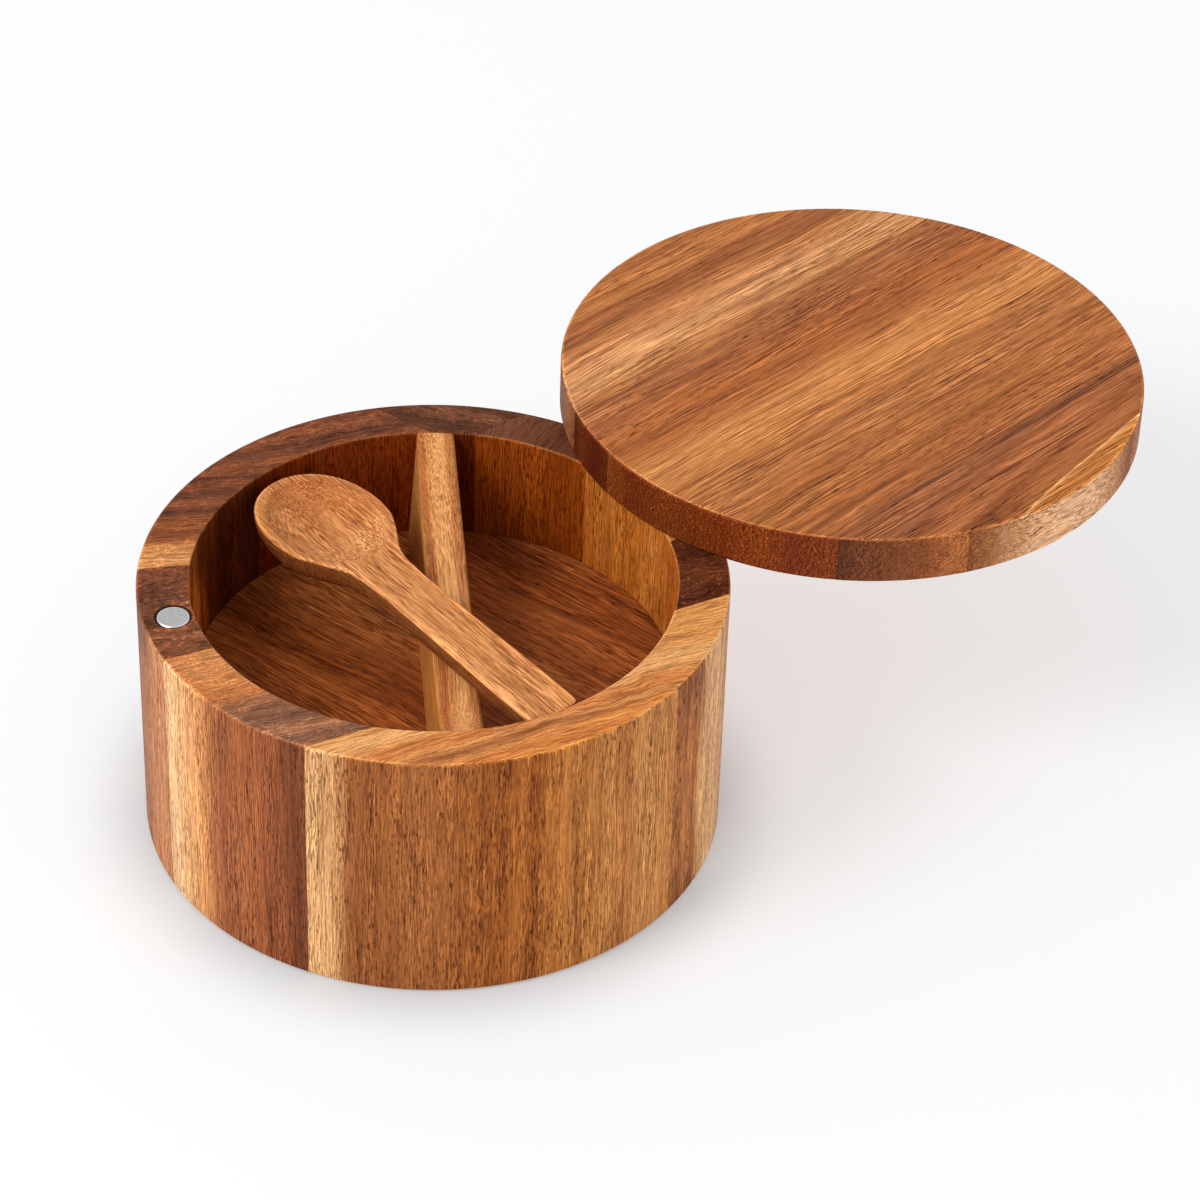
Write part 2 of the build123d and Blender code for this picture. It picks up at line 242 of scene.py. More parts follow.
# ---------------------------------------------------------------------------------------------------
# Wood: a solid texture that runs through each board, so its faces agree where they meet
# ---------------------------------------------------------------------------------------------------
def wood(name, grain, across, side, end=None, across_end=None, origin=(0, 0, 0), seed=0,
         warp=2.0, warp_fine=0.6, streak=0.55, fine=0.5, pores=0.85, pore_len=2.2, pore_w=0.36, light=0.3, relief=0.75,
         end_dark=0.0, end_streak=0.7, speckle=0.0, scratch=0.0, seams=(), blobs=(), bump=1.0, rough=0.5,
         end_tint=(1.0, 0.94, 0.86), inner_wall_painted_light=None, gain=(1.0, 1.0, 1.0), painted_edge_highlights=(), cut_at=(0.55, 0.93), top=None, hairs=0.75,
         fibre=4.8, fibre_w=0.38, end_gain=(1.0, 1.0, 1.0), painted_side_shade=None, marked_edge_highlight=0.0, mottle=0.0, rings=(), end_len=1.0):
    """grain: the direction that the fibres run in. across: the direction that the colours change in.
    side and end: colour stops (mm along across) for faces along the grain and across it."""
    t = Tree(name)
    L = unit(grain)
    W = unit(across)
    W = (W - L * W.dot(L)).normalized()
    D = L.cross(W)
    coord = t.new("ShaderNodeTexCoord")
    p0 = t.new("ShaderNodeVectorMath")
    p0.operation = "MULTIPLY_ADD"
    t.put(p0.inputs[0], coord.outputs["Object"])
    p0.inputs[1].default_value = (1000, 1000, 1000)
    p0.inputs[2].default_value = tuple(-c for c in origin)
    P = p0.outputs[0]
    l = t.dot(P, L)
    w = t.dot(P, W)
    d = t.dot(P, D)
    s = seed * 37.7

    def q(kl, kw, kd, off=0.0, ww=None, shift=0.0):
        """Stretched noise coordinates: one cell is kl mm along the grain, kw across the layers, kd in them."""
        return t.vec(
            t.math("MULTIPLY_ADD", l, 1.0 / kl, s + off + shift * 0.35 / kl),
            t.math("MULTIPLY_ADD", w if ww is None else ww, 1.0 / kw, s * 0.7 - off + shift / kw),
            t.math("MULTIPLY_ADD", d, 1.0 / kd, off * 1.3 + 5.1 + shift / kd),
        )

    # slow bends of the grain
    n1 = t.noise(q(75, 22, 22, 3.1), 1.5)
    n2 = t.noise(q(22, 5.5, 5.5, 9.7), 2.0)
    wv = t.math("MULTIPLY_ADD", t.sub(n1, 0.5), warp * 4.0, w)
    wv = t.math("MULTIPLY_ADD", t.sub(n2, 0.5), warp_fine * 4.0, wv)

    places = [c[0] for c in side]
    w0, w1 = min(places) - 0.01, max(places) + 0.01
    base = t.ramp(wv, side, w0, w1)

    # how much a face cuts across the grain
    cut = t.math("ABSOLUTE", t.dot(coord.outputs["Normal"], L))
    E = t.span(cut, *cut_at)
    if top is not None:      # another set of colours for the upper face, across a slightly turned direction
        stops, skew = top
        wt = t.math("MULTIPLY_ADD", l, skew, wv)
        facing = t.span(t.dot(coord.outputs["Normal"], (0, 0, 1)), 0.45, 0.75)
        base = t.mix(facing, base, t.ramp(wt, stops, min(c[0] for c in stops) - 0.01, max(c[0] for c in stops) + 0.01))

    if end is not None:
        We = unit(across_end) if across_end is not None else W
        we = t.dot(P, We)
        we = t.math("MULTIPLY_ADD", t.sub(n1, 0.5), warp * 4.0, we)
        we = t.math("MULTIPLY_ADD", t.sub(n2, 0.5), warp_fine * 4.5, we)
        places = [c[0] for c in end]
        ends = t.ramp(we, end, min(places) - 0.01, max(places) + 0.01)
    else:
        we = wv
        ends = t.tint(1.0, base, end_tint)
        if end_dark > 0:
            ends = t.tint(end_dark, ends, (0.35, 0.3, 0.28))
    De = D if across_end is None else L.cross(unit(across_end))
    de = d if across_end is None else t.dot(P, De)

    # streaks along the grain, broad and then fine
    s1 = t.noise(q(70, 2.3, 2.6, 17.0, wv), 3.0, 0.62)
    s2 = t.noise(q(26, 0.62, 0.7, 31.0, wv), 2.0, 0.55)
    dark1 = t.span(s1, 0.52, 0.74)
    lite1 = t.span(s1, 0.47, 0.28)
    col = t.tint(t.mul(dark1, streak), base, (0.50, 0.42, 0.36))
    col = t.tint(t.mul(lite1, streak * 0.75), col, (1.32, 1.38, 1.45))
    col = t.tint(t.mul(t.span(s2, 0.52, 0.72), fine), col, (0.60, 0.52, 0.44))
    col = t.tint(t.mul(t.span(s2, 0.46, 0.30), fine * 0.7), col, (1.28, 1.33, 1.40))
    # pores cut along their length: short dark dashes
    pn = t.noise(q(pore_len, pore_w, pore_w, 47.0, wv), 0.6, 0.5)
    crowd = t.span(t.noise(q(40, 3.0, 3.0, 71.0), 1.0), 0.35, 0.62, 0.4, 1.0)
    pore = t.mul(t.span(pn, 0.59, 0.655), crowd)
    col = t.tint(t.mul(pore, pores), col, (0.34, 0.25, 0.18))
    lf = t.noise(q(pore_len * 1.5, pore_w * 1.25, pore_w * 1.25, 83.0, wv), 0.6, 0.5)
    col = t.tint(t.mul(t.span(lf, 0.58, 0.70), light), col, (1.40, 1.46, 1.52))
    # painted light and shade of raised fibres: each dark dash gets a light one beside it, as if lit from one side, a
    # fine embossed weave
    r1 = t.noise(q(fibre, fibre_w, fibre_w, 151.0, wv), 2.0, 0.6, 0.12)
    r2 = t.noise(q(fibre, fibre_w, fibre_w, 151.0, wv, 0.42 * fibre_w), 2.0, 0.6, 0.12)
    rel = t.sub(r1, r2)
    crowd2 = t.span(t.noise(q(30, 5.0, 5.0, 171.0), 1.5), 0.36, 0.62, 0.45, 1.0)
    col = t.tint(t.mul(t.mul(t.span(rel, 0.010, 0.11), crowd2), relief), col, (0.42, 0.33, 0.25))
    col = t.tint(t.mul(t.mul(t.span(rel, -0.010, -0.11), crowd2), relief * 0.9), col, (1.58, 1.70, 1.82))

    # long hairlines, dark and light
    h1 = t.math("ABSOLUTE", t.sub(t.noise(q(max(30.0, fibre * 4.5), 0.85, 0.85, 211.0, wv), 1.5, 0.55, 0.1), 0.5))
    h2 = t.math("ABSOLUTE", t.sub(t.noise(q(max(26.0, fibre * 3.6), 0.95, 0.95, 233.0, wv), 1.5, 0.55, 0.1), 0.5))
    col = t.tint(t.mul(t.mul(t.span(h1, 0.030, 0.004), crowd), hairs), col, (0.50, 0.40, 0.31))
    col = t.tint(t.mul(t.mul(t.span(h2, 0.026, 0.004), crowd2), hairs * 0.8), col, (1.42, 1.52, 1.62))

    # end grain: streaks that follow the growth layers, with pores as dots
    e_s = t.vec(t.math("MULTIPLY_ADD", we, 1 / 1.5, s + 2.0), t.math("MULTIPLY_ADD", de, 1 / (11.0 * end_len), 1.7), t.mul(l, 1 / 30.0))
    e_f = t.vec(t.math("MULTIPLY_ADD", we, 1 / 0.55, s + 7.0), t.math("MULTIPLY_ADD", de, 1 / (3.6 * end_len), 2.3), t.mul(l, 1 / 9.0))
    es1 = t.noise(e_s, 3.0, 0.6)
    es2 = t.noise(e_f, 2.0, 0.6)
    ec = t.tint(t.mul(t.span(es1, 0.50, 0.70), end_streak), ends, (0.52, 0.44, 0.38))
    ec = t.tint(t.mul(t.span(es1, 0.46, 0.30), end_streak * 0.6), ec, (1.26, 1.32, 1.36))
    ec = t.tint(t.mul(t.span(es2, 0.52, 0.70), 0.55 * end_streak + 0.1), ec, (0.62, 0.53, 0.46))
    ec = t.tint(t.mul(t.span(es2, 0.44, 0.28), 0.5 * end_streak + 0.1), ec, (1.25, 1.30, 1.34))
    # painted light and shade of the end grain's relief: the same embossed look
    e_a = t.vec(t.math("MULTIPLY_ADD", we, 1 / 0.62, s + 3.0), t.math("MULTIPLY_ADD", de, 1 / (5.5 * end_len), 4.4), t.mul(l, 1 / 6.0))
    e_b = t.vec(t.math("MULTIPLY_ADD", we, 1 / 0.62, s + 3.0 + 0.20 / 0.62), t.math("MULTIPLY_ADD", de, 1 / (5.5 * end_len), 4.4 + 0.03),
                t.mul(l, 1 / 6.0))
    end_relief_shade_diff = t.sub(t.noise(e_a, 2.2, 0.6, 0.45), t.noise(e_b, 2.2, 0.6, 0.45))
    ec = t.tint(t.mul(t.span(end_relief_shade_diff, 0.008, 0.10), relief * 0.75), ec, (0.40, 0.31, 0.24))
    ec = t.tint(t.mul(t.span(end_relief_shade_diff, -0.008, -0.10), relief * 0.75), ec, (1.6, 1.7, 1.8))
    if mottle > 0:
        mo = t.noise(q(30, 2.4, 2.8, 311.0), 3.0, 0.65, 0.8)
        ec = t.tint(t.mul(t.span(mo, 0.48, 0.62), mottle), ec, (0.50, 0.47, 0.50))
        ec = t.tint(t.mul(t.span(mo, 0.46, 0.34), mottle * 0.45), ec, (1.35, 1.28, 1.15))
    dots = t.noise(q(1.1, 0.42, 0.42, 57.0), 1.5, 0.6)
    ec = t.tint(t.mul(t.span(dots, 0.58, 0.70), 0.35 + 0.45 * speckle), ec, (0.42, 0.33, 0.27))
    ec = t.tint(t.mul(t.span(dots, 0.44, 0.35), min(1.0, 0.08 + 0.92 * speckle)), ec, (2.2, 2.5, 2.8))
    if scratch > 0:
        hair = t.noise(q(60, 5.0, 5.0, 91.0), 2.5, 0.55, 0.6)
        line = t.span(t.math("ABSOLUTE", t.sub(hair, 0.5)), 0.004, 0.026, 1.0, 0.0)
        hair2 = t.noise(q(60, 4.0, 4.0, 131.0), 2.5, 0.6, 1.0)
        line2 = t.span(t.math("ABSOLUTE", t.sub(hair2, 0.47)), 0.004, 0.024, 1.0, 0.0)
        where = t.span(t.noise(q(30, 2.2, 2.2, 101.0), 1.0), 0.50, 0.58)
        ec = t.tint(t.mul(t.mul(t.math("MAXIMUM", line, line2), where), scratch), ec, (2.5, 2.3, 2.1))
    if end_gain != (1.0, 1.0, 1.0):
        ec = t.tint(1.0, ec, end_gain)
    col = t.mix(E, col, ec)

    # local patches
    for centre, size, amount, by in blobs:
        dv = t.new("ShaderNodeVectorMath")
        dv.operation = "SUBTRACT"
        t.put(dv.inputs[0], P)
        dv.inputs[1].default_value = tuple(centre[i] - origin[i] for i in range(3))
        ds = t.new("ShaderNodeVectorMath")
        ds.operation = "MULTIPLY"
        t.put(ds.inputs[0], dv.outputs[0])
        ds.inputs[1].default_value = tuple(1.0 / k for k in size)
        ln = t.new("ShaderNodeVectorMath")
        ln.operation = "LENGTH"
        t.put(ln.inputs[0], ds.outputs[0])
        r = t.math("MULTIPLY_ADD", t.sub(n2, 0.5), 1.2, ln.outputs["Value"])
        col = t.tint(t.mul(t.span(r, 1.15, 0.45), amount), col, by)

    # glue lines: (normal, offset, width, amount), a thin dark line where two boards meet
    for nrm, off, width, amount in seams:
        g = t.math("ABSOLUTE", t.sub(t.dot(P, nrm), off))
        col = t.tint(t.mul(t.span(g, width, width * 0.35), amount), col, (0.42, 0.33, 0.28))

    # painted light and shade on the inside of the bowl: the inner wall is darkened or lifted per board, where light
    # falls less or more
    if inner_wall_painted_light is not None or painted_edge_highlights:
        x, y, z = (t.dot(P, a) for a in ((1, 0, 0), (0, 1, 0), (0, 0, 1)))
    if inner_wall_painted_light is not None:
        rr = t.math("SQRT", t.math("ADD", t.mul(x, x), t.mul(y, y)))
        col = t.tint(t.mul(t.span(rr, R_IN + 0.5, R_IN + 0.15), t.span(z, 68.6, 67.8)), col, inner_wall_painted_light)
    # painted highlight along the rounded edges: (radius, height, reach, amount)
    for cx, cy, radius, height, reach, amount in painted_edge_highlights:
        dx, dy = t.sub(x, cx), t.sub(y, cy)
        rr = t.math("SQRT", t.math("ADD", t.mul(dx, dx), t.mul(dy, dy)))
        a = t.math("ABSOLUTE", t.sub(rr, radius))
        b = t.math("ABSOLUTE", t.sub(z, height))
        near = t.span(t.math("SQRT", t.math("ADD", t.mul(a, a), t.mul(b, b))), reach, reach * 0.3)
        col = t.tint(t.mul(t.mul(near, t.span(n2, 0.3, 0.6, 0.5, 1.0)), amount), col, (1.9, 2.1, 2.4))
    # painted shade and highlight round a pocket: a dark ring for the shaded gap, a light ring for the lit edge: (x, y,
    # radius, width, amount, tint)
    for cx, cy, radius, width, amount, by in rings:
        dx, dy = t.sub(t.dot(P, (1, 0, 0)), cx), t.sub(t.dot(P, (0, 1, 0)), cy)
        rr = t.math("SQRT", t.math("ADD", t.mul(dx, dx), t.mul(dy, dy)))
        col = t.tint(t.mul(t.span(t.math("ABSOLUTE", t.sub(rr, radius)), width, width * 0.3), amount), col, by)
    if gain != (1.0, 1.0, 1.0):
        col = t.tint(1.0, col, gain)
    # painted shade: the darkening of faces turned away stands in for the light they miss
    if painted_side_shade is not None:    # a face that turns away from this direction is darker
        axis, by = painted_side_shade
        col = t.tint(t.span(t.dot(coord.outputs["Normal"], unit(axis)), 0.62, 0.25), col, by)
    if marked_edge_highlight > 0:       # painted highlight along the edges, from the mesh's own mark
        at = t.new("ShaderNodeAttribute")
        at.attribute_name = "edge"
        col = t.tint(t.mul(at.outputs["Fac"], marked_edge_highlight), col, (1.55, 1.62, 1.75))

    # height and gloss
    hgt = t.math("MULTIPLY_ADD", t.mul(pore, t.sub(1.0, E)), -0.75, t.mul(s2, 0.35))
    hgt = t.math("MULTIPLY_ADD", t.mul(dots, E), 0.35, hgt)
    bn = t.new("ShaderNodeBump")
    bn.inputs["Strength"].default_value = 0.55 * bump
    bn.inputs["Distance"].default_value = 0.00016
    t.put(bn.inputs["Height"], hgt)
    ro = t.math("MULTIPLY_ADD", t.sub(s1, 0.5), 0.22, rough)
    ro = t.math("MULTIPLY_ADD", pore, 0.16, ro)
    ro = t.math("MULTIPLY_ADD", E, 0.08, ro)

    bsdf = t.new("ShaderNodeBsdfPrincipled")
    t.put(bsdf.inputs["Base Color"], col)
    t.put(bsdf.inputs["Roughness"], ro)
    bsdf.inputs["Specular IOR Level"].default_value = 0.1
    t.put(bsdf.inputs["Normal"], bn.outputs["Normal"])
    out = t.new("ShaderNodeOutputMaterial")
    t.put(out.inputs["Surface"], bsdf.outputs[0])
    return t.mat


def plan(deg, tilt=0.0):
    return (math.cos(math.radians(deg)), math.sin(math.radians(deg)), tilt)


def layers(theta):
    """The direction across growth layers whose streaks run at theta in plan."""
    return (-math.sin(math.radians(theta)), math.cos(math.radians(theta)), 0.0)


def joint(name, width=0.17, amount=0.6):
    """A wall's glue line as (normal, offset, width, amount)."""
    ao, ai = (math.radians(a) for a in SEAMS[name])
    o = Vector((R_OUT * math.cos(ao), R_OUT * math.sin(ao), 0))
    i = Vector((R_IN * math.cos(ai), R_IN * math.sin(ai), 0))
    n = Vector((-(o - i).y, (o - i).x, 0)).normalized()
    return (tuple(n), n.dot(o), width, amount)


def dress(node, mat):
    o = NODES[node]
    o.data.materials.clear()
    o.data.materials.append(mat)


UP = (0, 0, 1)
RIM_EDGE_HIGHLIGHT = [(0, 0, 69.75, 68.55, 0.62, 0.45), (0, 0, 57.85, 68.65, 0.42, 0.45)]     # painted highlight along its outer and inner edge

# --- bowl wall: the layers' directions and the colours across them -------------------------------------
# each board's inside tint is painted light and shade on the bowl's inner wall
dress("stave_left", wood(
    "wood_left", UP, layers(8), inner_wall_painted_light=(0.5, 0.34, 0.20), painted_edge_highlights=RIM_EDGE_HIGHLIGHT, end_gain=(1.1, 1.1, 1.05), mottle=0.3, seed=1, warp=0.9, warp_fine=0.35, streak=0.7, end_streak=0.9, scratch=0.5,
    side=[(5, (205, 138, 84)), (16, (196, 126, 74)), (19, (140, 84, 52)), (26, (150, 88, 52)), (31, (112, 64, 42)),
          (36, (140, 82, 50)), (44, (110, 62, 42))],
    end=[(7, (200, 134, 81)), (12, (211, 147, 92)), (16.5, (198, 130, 79)), (18, (158, 94, 58)), (22, (126, 72, 48)),
         (24, (156, 92, 56)), (28, (132, 76, 50)), (30, (98, 58, 44)), (33, (140, 82, 54)), (37, (100, 60, 46)),
         (40, (138, 80, 52)), (43, (96, 58, 45)), (46, (120, 70, 48))],
    # a much lighter patch half-way up the inner wall: painted light on the shaded inner wall
    blobs=[((-57.0, 9.0, 42), (9, 9, 22), 1.0, (3.2, 3.4, 2.4))],
    seams=[joint("magnet"), joint("left")]))

dress("stave_magnet", wood(
    "wood_magnet", UP, layers(14), inner_wall_painted_light=(2.3, 1.75, 0.9), painted_edge_highlights=RIM_EDGE_HIGHLIGHT, gain=(1.02, 1.0, 0.95), end_gain=(1.45, 1.45, 1.35), mottle=0.9,
    # painted shade in the gap round the magnet's pocket, and a painted highlight on the pocket's edge
    rings=[(-59.6, -19.48, 4.25, 0.35, 0.85, (0.16, 0.13, 0.12)), (-59.6, -19.48, 4.85, 0.28, 0.6, (1.7, 1.6, 1.5))],
    seed=2, warp=1.5, warp_fine=0.8, streak=0.5, end_streak=0.55, speckle=0.15, scratch=0.9,
    side=[(-24, (186, 122, 80)), (-16, (196, 132, 90)), (-8, (178, 114, 74)), (2, (150, 92, 60)), (10, (150, 92, 60))],
    end=[(-26, (118, 72, 52)), (-20, (100, 60, 44)), (-12, (124, 78, 56)), (-6, (104, 64, 47)), (0, (126, 80, 58)),
         (6, (98, 60, 46)), (12, (112, 68, 50))],
    blobs=[((-66.5, -18, 66), (10, 11, 10), 0.8, (0.42, 0.40, 0.42))],
    seams=[joint("magnet"), joint("front_left")]))

dress("stave_front_left", wood(
    "wood_front_left", UP, layers(22), inner_wall_painted_light=(1.3, 1.0, 0.6), painted_edge_highlights=RIM_EDGE_HIGHLIGHT, gain=(0.96, 0.93, 0.92), end_gain=(1.22, 1.22, 1.15), mottle=0.3, seed=3, warp=0.9, warp_fine=0.4, streak=0.85, fine=0.65, hairs=1.0, relief=0.65, end_streak=0.75, speckle=0.2, scratch=0.35,
    side=[(-9, (238, 188, 136)), (-14, (240, 190, 138)), (-19, (232, 175, 118)), (-25, (218, 150, 92)), (-28.5, (178, 112, 68)),
          (-32, (150, 88, 54)), (-36, (164, 98, 60)), (-42, (160, 94, 58)), (-46, (140, 80, 50)), (-49, (124, 72, 47)),
          (-52, (132, 78, 51))],
    end=[(-8, (190, 124, 76)), (-14, (196, 131, 83)), (-22, (194, 126, 76)), (-28, (182, 114, 70)), (-31, (154, 102, 74)),
         (-36, (138, 94, 72)), (-40, (120, 82, 66)), (-44, (168, 115, 84)), (-47, (122, 85, 69)), (-51, (156, 106, 77))],
    seams=[joint("front_left"), joint("front")]))

dress("stave_front", wood(
    "wood_front", UP, layers(26), inner_wall_painted_light=(0.8, 0.7, 0.5), painted_edge_highlights=RIM_EDGE_HIGHLIGHT, gain=(0.95, 0.93, 0.86), end_gain=(1.15, 1.2, 1.25), seed=4, warp=1.0, warp_fine=0.45, streak=0.85, fine=0.7, hairs=1.0, relief=0.65, end_streak=0.75,
    side=[(-38, (212, 156, 108)), (-44, (234, 180, 127)), (-49, (232, 178, 126)), (-52.5, (216, 160, 110)),
          (-54.5, (160, 98, 58)), (-59, (156, 94, 54)), (-62, (170, 106, 62)), (-66, (160, 96, 54)), (-70, (176, 112, 64))],
    end=[(-33, (216, 146, 84)), (-40, (220, 150, 88)), (-46, (214, 144, 84)), (-50, (224, 162, 104)), (-53, (222, 158, 100)),
         (-55.5, (208, 132, 76)), (-58, (200, 122, 70)), (-60, (212, 140, 84)), (-62, (164, 98, 60)), (-64.5, (208, 134, 78)),
         (-67, (190, 116, 66)), (-70, (208, 132, 74))],
    blobs=[((61.8, -32.9, 30), (8, 8, 34), 1.0, (1.5, 1.58, 1.4))],
    seams=[joint("front"), joint("right", amount=0.35)]))

dress("stave_front_strip", wood(
    "wood_strip", UP, plan(32), across_end=layers(26), painted_edge_highlights=RIM_EDGE_HIGHLIGHT, gain=(1.02, 0.97, 0.80), end_gain=(1.2, 1.25, 1.3), seed=5, warp=0.5, warp_fine=0.4, streak=0.8, fine=0.7, hairs=1.0, relief=0.65, end_streak=0.75,
    side=[(-29, (156, 94, 52)), (-25, (162, 98, 54)), (-20, (156, 92, 48)), (-15, (174, 106, 56)), (-12, (150, 86, 44)),
          (-8, (186, 118, 64)), (-3, (190, 124, 70)), (3, (184, 120, 68)), (8, (196, 134, 80)), (12, (184, 118, 68)),
          (16, (200, 138, 86)), (22, (206, 144, 88)), (27, (198, 132, 76)), (30, (188, 122, 70))],
    end=[(-62, (190, 118, 66)), (-64.5, (208, 134, 78)), (-67, (190, 116, 66)), (-70, (208, 132, 74))],
    seams=[((math.cos(math.radians(-58.15)), math.sin(math.radians(-58.15)), 0), 63.86, 0.16, 0.5)]))

dress("stave_right", wood(
    "wood_right", UP, layers(20), inner_wall_painted_light=(1.0, 0.85, 0.6), painted_edge_highlights=RIM_EDGE_HIGHLIGHT, gain=(1.35, 1.32, 1.05), mottle=0.6, seed=6, warp=1.4, warp_fine=0.8, streak=0.6, end_streak=0.5, speckle=0.4, scratch=1.0,
    side=[(-35, (170, 106, 62)), (-24, (164, 96, 50)), (-14, (178, 108, 58)), (-4, (166, 100, 56))],
    end=[(-34, (96, 54, 36)), (-26, (78, 45, 33)), (-18, (98, 58, 42)), (-10, (80, 46, 34)), (0, (94, 56, 42))],
    seams=[joint("right", amount=0.35), joint("pivot")]))

dress("stave_pivot", wood(
    "wood_pivot", UP, plan(125), inner_wall_painted_light=(0.9, 0.78, 0.5), painted_edge_highlights=RIM_EDGE_HIGHLIGHT, gain=(1.34, 1.42, 1.5), seed=7, warp=1.2, streak=0.62, fine=0.6, end_streak=0.6,
    side=[(-30, (176, 106, 52)), (-22, (196, 126, 66)), (-14, (184, 114, 58)), (-6, (200, 130, 72)), (2, (182, 112, 56)),
          (10, (192, 122, 64)), (20, (176, 106, 54))],
    end_dark=0.2, seams=[joint("pivot"), joint("back_right")]))

dress("stave_back_right", wood(
    "wood_back_right", UP, plan(150), inner_wall_painted_light=(0.85, 0.6, 0.26), painted_edge_highlights=RIM_EDGE_HIGHLIGHT, seed=8, warp=1.2, streak=0.65, fine=0.6, end_streak=0.7, speckle=0.2,
    side=[(-20, (182, 110, 56)), (-10, (168, 98, 48)), (0, (152, 86, 42)), (10, (166, 96, 48)), (24, (146, 82, 42)),
          (40, (150, 86, 46))],
    end=[(-10, (128, 78, 53)), (4, (108, 65, 46)), (16, (124, 76, 53)), (28, (98, 60, 44)), (40, (112, 68, 49))],
    seams=[joint("back_right"), joint("back")]))

dress("stave_back", wood(
    "wood_back", UP, layers(-14), inner_wall_painted_light=(0.76, 0.36, 0.05), painted_edge_highlights=RIM_EDGE_HIGHLIGHT, mottle=0.6, seed=9, warp=1.4, warp_fine=0.7, streak=0.6, end_streak=0.6, speckle=0.25, scratch=0.5,
    side=[(54, (104, 60, 36)), (60, (118, 70, 42)), (66, (108, 62, 38)), (72, (120, 72, 44))],
    end=[(54, (116, 70, 50)), (60, (94, 57, 42)), (64, (128, 80, 57)), (68, (98, 60, 44)), (72, (122, 75, 54))],
    seams=[joint("back"), joint("back_left", 0.2, 0.75)]))

dress("stave_back_left", wood(
    "wood_back_left", UP, layers(22), inner_wall_painted_light=(0.88, 0.47, 0.14), painted_edge_highlights=RIM_EDGE_HIGHLIGHT, mottle=0.3, seed=10, warp=2.6, warp_fine=1.0, streak=0.65, end_streak=0.85, speckle=0.15, scratch=0.4,
    side=[(40, (146, 88, 52)), (50, (126, 70, 40)), (58, (142, 84, 50)), (64, (110, 62, 38)), (72, (130, 76, 46))],
    end=[(40, (118, 70, 50)), (46, (146, 86, 56)), (50, (104, 64, 48)), (54, (150, 88, 56)), (58, (128, 74, 50)),
         (61, (104, 62, 46)), (64, (148, 86, 56)), (68, (120, 70, 50)), (72, (134, 80, 56))],
    blobs=[((-10, 62.5, 68.8), (9, 1.4, 30), 0.7, (0.5, 0.45, 0.45))],
    seams=[joint("back_left", 0.2, 0.75), joint("left")]))

# --- floor, base and divider ---------------------------------------------------------------------------
FLOOR_G = plan(-38)
dress("floor_panel", wood(
    "wood_floor", FLOOR_G, layers(-38), origin=(0, 0, 38.85), gain=(1.5, 1.4, 0.95), seed=11, warp=2.2, warp_fine=0.5, streak=0.85, fine=0.8, fibre=9.0, relief=0.95, pore_len=3.2,
    pores=0.75, light=0.45,
    side=[(-58, (128, 74, 46)), (-45, (150, 90, 58)), (-34, (122, 70, 44)), (-24, (146, 86, 54)), (-12, (118, 66, 42)),
          (0, (142, 84, 54)), (12, (158, 98, 64)), (22, (136, 80, 52)), (34, (148, 88, 58)), (46, (122, 70, 46)),
          (58, (138, 82, 54))]))
BASE = wood(
    "wood_base", plan(20), layers(20), seed=12, warp=3.0, warp_fine=0.8, streak=0.6, end_streak=0.6,
    side=[(-62, (150, 92, 56)), (-46, (172, 108, 64)), (-40, (140, 84, 50)), (-22, (166, 102, 60)), (-18, (188, 124, 76)),
          (4, (180, 114, 68)), (8, (146, 88, 54)), (30, (158, 96, 58)), (34, (182, 118, 70)), (62, (160, 98, 60))])
dress("base_core", BASE)
dress("base_disc", BASE)

DIV_DIR, DIV_OFF = -83.82, 3.61
dn = plan(DIV_DIR + 90)
dress("divider", wood(
    "wood_divider", plan(DIV_DIR), dn, origin=(dn[0] * DIV_OFF, dn[1] * DIV_OFF, 68.8), seed=13, warp=0.35, warp_fine=0.3,
    streak=0.55, fine=0.45, pores=0.35, light=0.25, relief=0.5, fibre=12.0, cut_at=(0.8, 0.98),
    side=[(-6.6, (206, 136, 72)), (-4.7, (210, 140, 76)), (-4.1, (190, 114, 66)), (-3.0, (196, 118, 70)), (-2.2, (224, 150, 88)),
          (0.2, (240, 172, 108)), (2.0, (232, 160, 98)), (2.9, (200, 130, 78)), (4.4, (188, 120, 72)), (6.6, (190, 120, 70))],
    # a darker patch on the divider's top towards the front right: partly the wood's colour, partly a painted shadow of
    # the spoon
    blobs=[((4.5, -48, 68.8), (4, 22, 20), 0.35, (0.94, 0.80, 0.66))]))

# --- lid -----------------------------------------------------------------------------------------------
G = plan(45.5)
S = layers(45.5)
LO = (LID_C[0], LID_C[1], LID_TOP)


def lid_board(node, name, lo, hi, side, **kw):
    seams = []
    for off in (lo, hi):
        if off is not None:
            seams.append((S, off, 0.15, 0.30))
    kw.setdefault("fibre", 19.0)
    kw.setdefault("fibre_w", 0.30)
    kw.setdefault("pore_len", 3.6)
    kw.setdefault("relief", 0.9)
    kw.setdefault("hairs", 1.0)
    kw.setdefault("end_len", 0.22)
    kw.setdefault("cut_at", (0.42, 0.72))
    # every lid board gets a painted highlight along the lid's top edge
    dress(node, wood(name, G, S, side=side, origin=LO, seams=seams, painted_edge_highlights=[(0, 0, 71.85, -0.2, 0.55, 0.5)], **kw))


